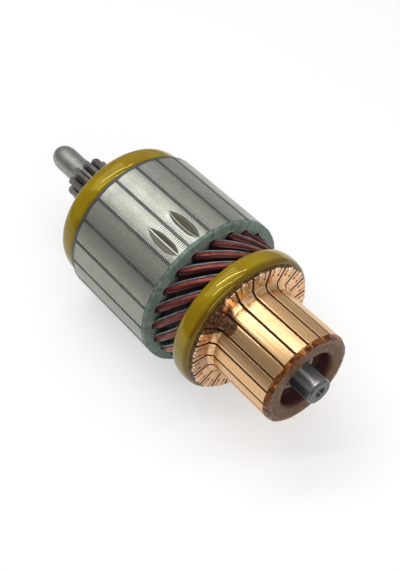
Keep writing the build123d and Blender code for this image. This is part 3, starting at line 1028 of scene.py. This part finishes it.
def rounded_off(made, width):
    """Rounds the sharp edges of a piece."""
    modifier = made.modifiers.new("rounded edges", "BEVEL")
    modifier.width = width
    modifier.segments = 2
    modifier.limit_method = "ANGLE"
    modifier.angle_limit = radians(28)
    modifier.harden_normals = True
    return applied(made)


def commutator_bars():
    """The bars with the small rounding that turning and brushing leave on their edges."""
    work = bmesh.new()
    work.from_mesh(nodes["segment_01"].data)
    work.transform(nodes["segment_01"].matrix_world)
    bmesh.ops.remove_doubles(work, verts=work.verts, dist=1e-6)
    bmesh.ops.dissolve_limit(work, angle_limit=radians(1), verts=work.verts, edges=work.edges)
    made = piece("commutator_bars", work, "copper", "bar_copper", numbered("segment"), sharp=28)
    return repeated(rounded_off(made, 0.18 * mm))


def conductor_ends():
    """The conductors' ends in the risers: a round-topped one on a lower one, welded to each other."""
    bevel = 0.12 * mm
    upper = rounded_block(wire_radius, 27.95 * mm, 31.85 * mm, 1.0 * mm, 1.7 * mm)
    lower = rounded_block(1.70 * mm, 24.5 * mm, 28.05 * mm, 0.3 * mm, 1.15 * mm)
    work = raised(upper, -34.1 * mm, riser_front + 0.06 * mm, bevel)
    raised(lower, riser_rear + 0.3 * mm, riser_front + 0.04 * mm, bevel, work)
    made = piece("conductor_ends", work, "copper", "bar_copper", sharp=30)
    return repeated(made, start=pitch / 2)


def riser_beads():
    """The rounded tips of the risers beside the conductors' ends, two to a bar."""
    work = bmesh.new()
    along, beside, radius = -32.6 * mm, 3.05 * mm, 31.0 * mm
    half_sizes = Matrix.Diagonal((0.46 * mm, 0.95 * mm, 0.42 * mm, 1))
    for angle in (beside / radius, -beside / radius):
        made = bmesh.ops.create_uvsphere(work, u_segments=16, v_segments=10, radius=1.0)
        spot = Matrix.Translation(place(along, 90 + degrees(angle), radius))
        lay = Matrix.Rotation(angle, 4, "X")
        bmesh.ops.transform(work, matrix=spot @ lay @ half_sizes, verts=made["verts"])
    made = piece("riser_beads", work, "copper", "bar_copper", sharp=80)
    return repeated(made, start=pitch / 2)


def riser_shadow():
    """The dark bottom of the small gaps beside the conductors' ends."""
    rear, front = riser_front - 1.6 * mm, riser_front - 1.2 * mm
    inner, outer = 24.8 * mm, 31.1 * mm
    profile = [(front, inner), (front, outer), (rear, outer), (rear, inner)]
    return piece("riser_shadow", turned(profile), "gap", "moulding")


def riser_step():
    """The brown insulation between the front band and the tips of the risers."""
    profile = [
        (-35.2 * mm, 31.45 * mm),
        (-35.2 * mm, 32.1 * mm),
        (-34.2 * mm, 32.05 * mm),
        (-33.5 * mm, 31.85 * mm),
        (-33.0 * mm, 31.65 * mm),
        (-32.8 * mm, 31.5 * mm),
        (-32.8 * mm, 31.42 * mm),
    ]
    return piece("riser_step", turned(profile), "brown", "paper", sharp=60)


def slot_fill():
    """Lacquer in the mouths of the slots, just under the core's surface."""
    half, bottom, edge, middle = 0.76 * mm, 33.0 * mm, 36.6 * mm, 36.5 * mm
    outline = [(half, bottom), (half, edge), (0, middle), (-half, edge), (-half, bottom)]
    work = raised(outline, plate_rear + 0.02 * mm, plate_front - 0.04 * mm)
    return repeated(piece("slot_fill", work, "slot_fill", "coat"))


def mouth(bottom, top):
    """The round-topped outline of a slot's mouth in the front plate."""
    return rounded_block(2.35 * mm, bottom, top, 0.4 * mm, 2.2 * mm)


def slot_lips():
    """The paper lips round the wires where the slots open at the front plate."""
    outline = mouth(28.6 * mm, 33.15 * mm)
    half, leg = len(outline) // 2, 3
    path = [Vector((plate_front + 0.05 * mm, across, up)) for across, up in outline]
    path = [path[-1 - leg]] + path[:half + leg]
    work = swept(path, circle(0.36 * mm, 8))
    return repeated(piece("slot_lips", work, "paper", "paper"))


def slot_mouths():
    """A dark plate in the slots' mouths behind the lips, as painted shade in the cavities."""
    outline = mouth(24.3 * mm, 33.1 * mm)
    work = raised(outline, plate_front - 0.3 * mm, plate_front + 0.03 * mm)
    return repeated(piece("slot_mouths", work, "gap", "paper"))


def layer_sleeve():
    """The sleeve between the upper and the lower wires, black as painted shade in the gaps between them.
    """
    rear, front = plate_front + 0.1 * mm, -43.0 * mm
    profile = [(rear, 28.0 * mm), (rear, 28.25 * mm), (front, 28.0 * mm), (front, 27.75 * mm)]
    return piece("layer_sleeve", turned(profile), "gap", "paper", ("layer_ring",))


def wire_ridges():
    """The folded edges of the slot paper that run beside the wires to the front band."""
    from_wire = 1.85 * mm
    route = [
        (plate_front + 0.2 * mm, 0, 30.6 * mm),
        (-56.6 * mm, -0.5, 30.6 * mm),
        (-54.6 * mm, -lead * 0.14, 30.45 * mm),
        wire_near_core,
        wire_near_riser,
        (-42.0 * mm, -lead * 0.82, 29.8 * mm),
    ]
    points = [place(along, first_slot + turn, radius) for along, turn, radius in softened(route, 3)]
    shifted = []
    for index, point in enumerate(points):
        side = direction(points, index).cross(outward(point)).normalized()
        shifted.append(point - side * from_wire)
    section = [(0.5, -1.9), (0.5, 1.0), (0.3, 1.35), (0.0, 1.2), (-0.3, 1.35), (-0.5, 1.0), (-0.5, -1.9)]
    section = [(a * mm, b * mm) for a, b in section]
    work = swept(shifted, section, upright=True)
    return repeated(piece("wire_ridges", work, "paper", "paper", sharp=60))


made_pieces = [
    winding(),
    band("front_band_skin", -43.6 * mm, -33.8 * mm, 32.0 * mm, 32.2 * mm, 34.1 * mm),
    band("rear_band_skin", -123.2 * mm, -111.7 * mm, 32.4 * mm, 32.7 * mm, 35.2 * mm),
    tail_cap(),
    front_ring(),
    bush_ring(),
    front_lacquer(),
    commutator_bars(),
    conductor_ends(),
    riser_beads(),
    riser_shadow(),
    riser_step(),
    slot_fill(),
    slot_lips(),
    slot_mouths(),
    layer_sleeve(),
    wire_ridges(),
]
for made in made_pieces:
    seat(made)


# The studio

def floor():
    """A plain pale floor under the core, which holds the part's shadow and glows where it is seen."""
    height = core_bottom - 0.2 * mm
    size, glow_ends, glow_fades, glow_strength = 6, 0.55, 0.42, 0.52
    mesh = bpy.data.meshes.new("floor")
    mesh.from_pydata(
        [(-size, -size, height), (size, -size, height), (size, size, height), (-size, size, height)],
        [],
        [(0, 1, 2, 3)],
    )
    added("floor", mesh)
    material = bpy.data.materials.new("pale floor")
    material.use_nodes = True
    make = Nodes(material.node_tree)
    make.tree.nodes.remove(make.tree.nodes["Principled BSDF"])
    path = make.add("ShaderNodeLightPath").outputs
    seen = make.math("MAXIMUM", path["Is Camera Ray"], path["Is Glossy Ray"])
    seen = make.math("MAXIMUM", seen, path["Is Transmission Ray"])
    spot = make.add("ShaderNodeTexCoord").outputs["Object"]
    middle = (-0.1, 0.03, height)
    away = make.add("ShaderNodeVectorMath", {0: spot, 1: middle}, operation="DISTANCE").outputs["Value"]
    seen = make.times(seen, make.step(away, glow_ends, glow_fades))
    matt = make.add("ShaderNodeBsdfDiffuse", {"Color": (0.5, 0.5, 0.5)}).outputs[0]
    strength = make.times(seen, glow_strength)
    glow = make.add("ShaderNodeEmission", {"Color": (1, 1, 1), "Strength": strength})
    both = make.add("ShaderNodeAddShader", {0: matt, 1: glow.outputs[0]}).outputs[0]
    make.tree.links.new(both, make.tree.nodes["Material Output"].inputs[0])
    mesh.materials.append(material)


def lamp(name, spot, run, width, length, radiance):
    """A rectangular lamp at a spot, facing the middle of the part, with its length lying along run."""
    middle = Vector((-0.06, 0, 0))
    data = bpy.data.lights.new(name, "AREA")
    data.shape = "RECTANGLE"
    data.size = width
    data.size_y = length
    data.energy = radiance * pi * width * length
    light = added(name, data)
    light.location = spot
    back = (Vector(spot) - middle).normalized()
    side = Vector(run).cross(back).normalized()
    light.rotation_euler = Matrix((side, back.cross(side), back)).transposed().to_euler()


def surroundings():
    """A pale room, brighter above and on its far side."""
    world = bpy.data.worlds.new("studio")
    bpy.context.scene.world = world
    world.use_nodes = True
    make = Nodes(world.node_tree)
    back = world.node_tree.nodes["Background"]
    direction = make.add("ShaderNodeTexCoord").outputs["Generated"]
    parts = make.add("ShaderNodeSeparateXYZ", {0: direction}).outputs
    above = make.ramp(parts[2], -0.1, 0.9, 0.25, 0.45)
    beyond = make.ramp(parts[1], -0.8, 0.9, 0.75, 1.5)
    room = make.times(above, beyond)
    make.tree.links.new(room, back.inputs["Strength"])
    make.feed(back.inputs["Color"], (1, 1, 1))


def camera():
    """The photograph's own view, found from the ellipses of the round pieces."""
    data = bpy.data.cameras.new("camera")
    data.sensor_fit = "AUTO"
    data.sensor_width = 36
    data.lens = 60.32
    data.clip_start = 0.01
    data.clip_end = 20
    eye = added("camera", data)
    eye.location = (0.148396, -0.174498, 0.314672)
    aim = Vector((-0.064943, -0.000810, -0.000447))
    eye.rotation_euler = (aim - eye.location).to_track_quat("-Z", "Y").to_euler()
    bpy.context.scene.camera = eye


floor()
surroundings()
lamp("soft lamp", (-0.485, -0.10, 0.72), (0, 1, 0), width=0.45, length=0.74, radiance=1.38)
lamp("first tube", (-0.345, 0.07, 0.7), (0.44, 1, 0), width=0.022, length=0.66, radiance=20)
lamp("second tube", (-0.11, -0.07, 0.7), (0.5, 1, 0), width=0.022, length=0.72, radiance=20)
lamp("fill lamp", (0.62, -0.25, 0.48), (0, 1, 0), width=0.45, length=0.6, radiance=2.6)
camera()
bpy.context.scene.view_settings.view_transform = "Standard"
